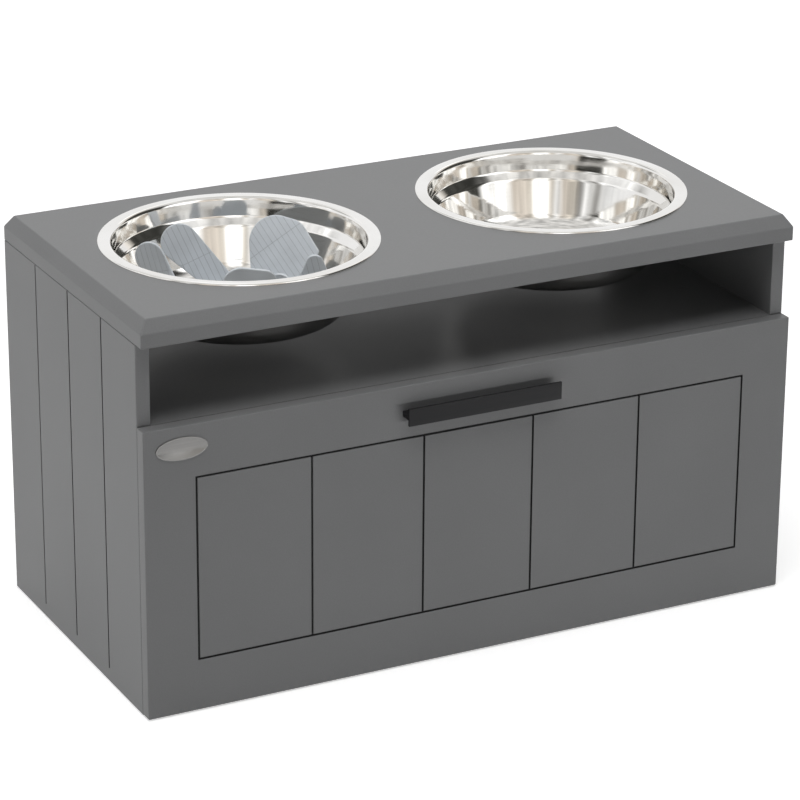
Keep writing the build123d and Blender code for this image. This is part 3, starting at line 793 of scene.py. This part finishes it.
def ridge(piece, tall, slant):
    """Scores narrow grooves along the leaf on both faces, leaning by the slant."""
    lean = radians(slant)
    across = Vector((cos(lean), sin(lean), 0))
    along = Vector((-sin(lean), cos(lean), 0))
    middle = Vector((0, tall / 2, 0))
    spots = [k * RIDGE_PITCH for k in range(-9, 10)]
    lips = (-RIDGE_HALF, RIDGE_HALF)

    def in_ridge(place):
        away = place - middle
        if abs(away.dot(along) - CROSSING) < RIDGE_HALF:
            return True
        return any(abs(away.dot(across) - spot) < RIDGE_HALF for spot in spots)

    score(piece, [middle + across * (spot + step) for spot in spots for step in lips], across)
    score(piece, [middle + along * (CROSSING + step) for step in lips], along)
    score(piece, [(0, k * CURL_STEP, 0) for k in range(1, 20)], (0, 1, 0))
    for facing in (-1, 1):
        push(
            piece,
            lambda place, normal: normal.z * facing > 0.98
            and place.y > RIDGE_START
            and in_ridge(place),
            (0, 0, -facing * RIDGE_DEEP),
        )
        # the ridge faces take the darker second finish, painted shade in the grooves
        for face in piece.data.polygons:
            if face.select:
                face.material_index = 1


def leaf(foot, tip, drop, turn, foot_wide, slant, curl, bulges):
    """Draws, ridges, curls and stands one leaf up on the disc."""
    across = Vector((cos(radians(turn)), sin(radians(turn)), 0))
    low = Vector((foot[0] * MM, foot[1] * MM, DISC_TOP - MM))
    rise = Vector((tip[0] * MM, tip[1] * MM, -drop * MM)) - low
    facing = across.cross(rise).normalized()
    upward = facing.cross(across)
    lean, tall = rise.dot(across) / MM, rise.dot(upward) / MM
    rounds = [(lean + side, tall - below, radius) for side, below, radius in bulges]
    piece = flat_leaf(foot_wide, rounds)
    half = LEAF_THICK / 2
    flat = 0.01 * MM
    round_off(
        piece,
        1.0 * MM,
        lambda a, b: abs(abs(a.z) - half) < flat and abs(a.z - b.z) < flat,
        segments=4,
    )
    if slant is not None:
        ridge(piece, tall * MM, slant)
    only(piece)
    piece.rotation_euler.x = pi / 2
    bpy.ops.object.transform_apply(location=True, rotation=True, scale=True)
    bend = piece.modifiers.new("curl", "SIMPLE_DEFORM")
    bend.deform_method = "BEND"
    bend.deform_axis = "X"
    bend.angle = radians(curl)
    bpy.ops.object.modifier_apply(modifier="curl")
    stand = Matrix((across, -facing, upward)).transposed().to_4x4()
    stand.translation = insert_centre + low
    piece.matrix_world = stand
    only(piece)
    bpy.ops.object.transform_apply(location=True, rotation=True, scale=True)
    return piece


leaves = [leaf(*facts) for facts in LEAVES]
print("leaves", [len(piece.data.polygons) for piece in leaves])

# %% The disc and its feet
DISC_SECTION = (
    (0, -59.9, 0),
    (60.5, -59.9, 0),
    (62.5, -59.5, 0.8),
    (64.0, -59.9, 0.6),
    (64.0, -62.9, 0.8),
    (0, -62.9, 0),
)
disc = draw_section("slow_feeder", insert_centre, DISC_SECTION)
turn_section(disc, insert_centre, 120)
FOOT_SECTION = (
    (0, -62.5, 0),
    (3.2, -62.5, 0),
    (3.4, -63.4, 0.4),
    (5.0, -64.1, 0),
    (4.4, -64.1, 0),
    (0, -63.6, 0),
)
FOOT_RING = 57.5 * MM
feet = []
for k in range(6):
    turn = radians(20 + 60 * k)
    spot = insert_centre + Vector((FOOT_RING * cos(turn), FOOT_RING * sin(turn), 0))
    foot = draw_section("foot", spot, FOOT_SECTION)
    turn_section(foot, spot, 32)
    feet.append(foot)

# %% One moulding
only(disc)
for piece in [disc] + leaves + feet:
    piece.select_set(True)
    piece.data.materials.append(SILICONE)
    piece.data.materials.append(RIDGE_SHADE)
bpy.ops.object.join()
finish_piece(disc, "slow_feeder_insert", "slow_feeder_insert", "grey_silicone", flats=True)

# %% [markdown]
# ## Room and light
# A large pale floor and four soft lamps: a broad one above, a key lamp high on
# the left, one from the left side and one just over the floor in front, which
# throws the handle's soft shadow upwards. The camera sees a white studio and
# the mirroring pieces see a bright room, but both give the feeder very little
# light: nearly all of it comes from the lamps. Far from the feeder, where the
# lamps no longer reach, the floor glows more, so that it stays white to the
# horizon.

# %% Floor
bpy.ops.object.select_all(action="DESELECT")
bpy.ops.mesh.primitive_plane_add(size=60, location=(0, 0, -0.0005))
floor = bpy.context.active_object
floor.name = "floor"
floor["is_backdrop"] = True
pale = bpy.data.materials.new("pale_floor")
pale.use_nodes = True
link = pale.node_tree.links.new
pale_shader = pale.node_tree.nodes["Principled BSDF"]
pale_shader.inputs["Base Color"].default_value = (0.80, 0.80, 0.80, 1)
pale_shader.inputs["Roughness"].default_value = 0.9
ray = add(pale, "LightPath")
seen = add(pale, "Math", operation="MAXIMUM")
link(ray.outputs["Is Camera Ray"], seen.inputs[0])
link(ray.outputs["Is Glossy Ray"], seen.inputs[1])
seen_too = add(pale, "Math", operation="MAXIMUM")
link(seen.outputs[0], seen_too.inputs[0])
link(ray.outputs["Is Transmission Ray"], seen_too.inputs[1])
floor_places = add(pale, "TexCoord")
away = add(pale, "VectorMath", operation="LENGTH")
link(floor_places.outputs["Object"], away.inputs[0])
whiter = add(pale, "MapRange", interpolation_type="SMOOTHSTEP")
GLOW_NEAR, GLOW_FAR = 0.7, 2.4  # metres from the feeder
limits = {"From Min": GLOW_NEAR, "From Max": GLOW_FAR, "To Min": 0.55, "To Max": 1.0}
for name, number in limits.items():
    whiter.inputs[name].default_value = number
link(away.outputs["Value"], whiter.inputs["Value"])
glow = add(pale, "Math", operation="MULTIPLY")
link(whiter.outputs["Result"], glow.inputs[1])
link(seen_too.outputs[0], glow.inputs[0])
pale_shader.inputs["Emission Color"].default_value = (1, 1, 1, 1)
link(glow.outputs[0], pale_shader.inputs["Emission Strength"])
floor.data.materials.append(pale)

# %% World
FILL = 0.04
world = bpy.data.worlds.new("studio")
bpy.context.scene.world = world
world.use_nodes = True
sky = world.node_tree
background = sky.nodes["Background"]
ray = sky.nodes.new("ShaderNodeLightPath")
seen = sky.nodes.new("ShaderNodeMath")
seen.operation = "MAXIMUM"
sky.links.new(ray.outputs["Is Camera Ray"], seen.inputs[0])
sky.links.new(ray.outputs["Is Glossy Ray"], seen.inputs[1])
seen_too = sky.nodes.new("ShaderNodeMath")
seen_too.operation = "MAXIMUM"
sky.links.new(seen.outputs[0], seen_too.inputs[0])
sky.links.new(ray.outputs["Is Transmission Ray"], seen_too.inputs[1])
level = sky.nodes.new("ShaderNodeMapRange")
level.inputs["To Min"].default_value = FILL
level.inputs["To Max"].default_value = 1.0
sky.links.new(seen_too.outputs[0], level.inputs["Value"])
sky.links.new(level.outputs["Result"], background.inputs["Strength"])

# %% [markdown]
# Polished steel shows whatever stands around it, and in a white void it would
# look like chalk. A real studio has dark gaps between its bright walls and
# windows. We draw that room as a strip that runs once round the horizon, out of
# six named tones, and only mirror rays see it. Behind the feeder and low down
# it stays white, as the backdrop is.

# %% Node helper for the world
def sky_node(kind, *feeds, **values):
    """A world node with its inputs linked or set, in the order given."""
    node = sky.nodes.new("ShaderNode" + kind)
    for name, value in values.items():
        setattr(node, name, value)
    for socket, feed in zip(node.inputs, feeds):
        if isinstance(feed, bpy.types.NodeSocket):
            sky.links.new(feed, socket)
        elif feed is not None:
            socket.default_value = feed
    return node


# %% The room that the steel mirrors
WINDOW = (1.7, 1.7, 1.68)
WALL = (1.2, 1.2, 1.19)
CREAM = (0.92, 0.85, 0.75)
TAN = (0.76, 0.69, 0.61)
SHADE = (0.38, 0.37, 0.35)
DARK = (0.06, 0.06, 0.055)
# degrees round from the front by way of the left, and the tone of the wall there
ROOM_STRIP = (
    (0, TAN), (8, CREAM), (13, WINDOW), (25, WINDOW), (30, CREAM), (36, WALL),
    (44, TAN), (54, CREAM), (60, SHADE), (66, WALL), (78, SHADE), (88, WALL),
    (125, WALL), (150, SHADE), (170, WALL), (236, WALL), (246, TAN), (254, CREAM),
    (262, DARK), (310, DARK), (317, WINDOW), (342, WINDOW), (350, TAN), (360, TAN),
)
CEILING = (0.85, 0.84, 0.82, 1)
room = sky_node("TexCoord")
squashed = sky_node(
    "VectorMath", room.outputs["Generated"], (1, 1, 0.35), operation="MULTIPLY"
)
clutter = sky_node("TexNoise", squashed.outputs[0])
clutter.inputs["Scale"].default_value = 7.0
clutter.inputs["Detail"].default_value = 5.0
streak = sky_node("MapRange", clutter.outputs["Fac"], 0.32, 0.68, 0.55, 1.25)
split = sky_node("SeparateXYZ", room.outputs["Generated"])
across, back_way, high_way = split.outputs
heading = sky_node("Math", across, back_way, operation="ARCTAN2")
round_room = sky_node("MapRange", heading.outputs[0], -pi, pi)
strip = sky_node("ValToRGB", round_room.outputs[0])
ends = strip.color_ramp.elements
for degrees, colour in ROOM_STRIP:
    end = ends[0] if degrees == 0 else ends[-1] if degrees == 360 else ends.new(degrees / 360)
    end.color = (*colour, 1)
ceiling_part = sky_node("MapRange", high_way, 0.60, 0.86, interpolation_type="SMOOTHSTEP")
whole_room = sky_node("Mix", ceiling_part.outputs[0], data_type="RGBA")
sky.links.new(strip.outputs["Color"], whole_room.inputs[6])
whole_room.inputs[7].default_value = CEILING
lit_room = sky_node("VectorMath", whole_room.outputs[2], operation="SCALE")
sky.links.new(streak.outputs[0], lit_room.inputs["Scale"])

overhead_part = sky_node("MapRange", high_way, 0.42, 0.55, interpolation_type="SMOOTHSTEP")
front_part = sky_node("MapRange", back_way, 0.42, 0.12, interpolation_type="SMOOTHSTEP")
room_part = sky_node(
    "Math", overhead_part.outputs[0], front_part.outputs[0], operation="MAXIMUM"
)
mirrored = sky_node(
    "Math", room_part.outputs[0], ray.outputs["Is Glossy Ray"], operation="MULTIPLY"
)
surround = sky_node("Mix", mirrored.outputs[0], data_type="RGBA")
surround.inputs[6].default_value = (1, 1, 1, 1)
sky.links.new(lit_room.outputs[0], surround.inputs[7])
sky.links.new(surround.outputs[2], background.inputs["Color"])
print("room strip", len(ends), "stops")

# %% Lamps
def soft_lamp(name, spot, target, size, power):
    data = bpy.data.lights.new(name, "AREA")
    data.shape = "RECTANGLE"
    data.size, data.size_y = size
    data.energy = power
    lamp = bpy.data.objects.new(name, data)
    lamp.visible_glossy = False
    bpy.context.scene.collection.objects.link(lamp)
    lamp.location = spot
    lamp.rotation_euler = (Vector(target) - Vector(spot)).to_track_quat("-Z", "Y").to_euler()


soft_lamp("top_lamp", (0, 0, 2.4), (0, 0, 0.2), (2.6, 2.6), 50)
soft_lamp("key_lamp", (-0.8, -0.9, 2.7), (0, 0, 0.2), (1.6, 1.6), 16)
soft_lamp("left_lamp", (-2.3, 0, 0.45), (0, 0, 0.15), (0.5, 0.9), 11)
soft_lamp("low_lamp", (0.7, -2.2, 0.07), (0, 0, 0.15), (1.6, 0.13), 13)

scene = bpy.context.scene
scene.view_settings.view_transform = "Standard"

# %% Size of the dressed feeder
low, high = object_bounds()
print("visual box", tuple(low), tuple(high))
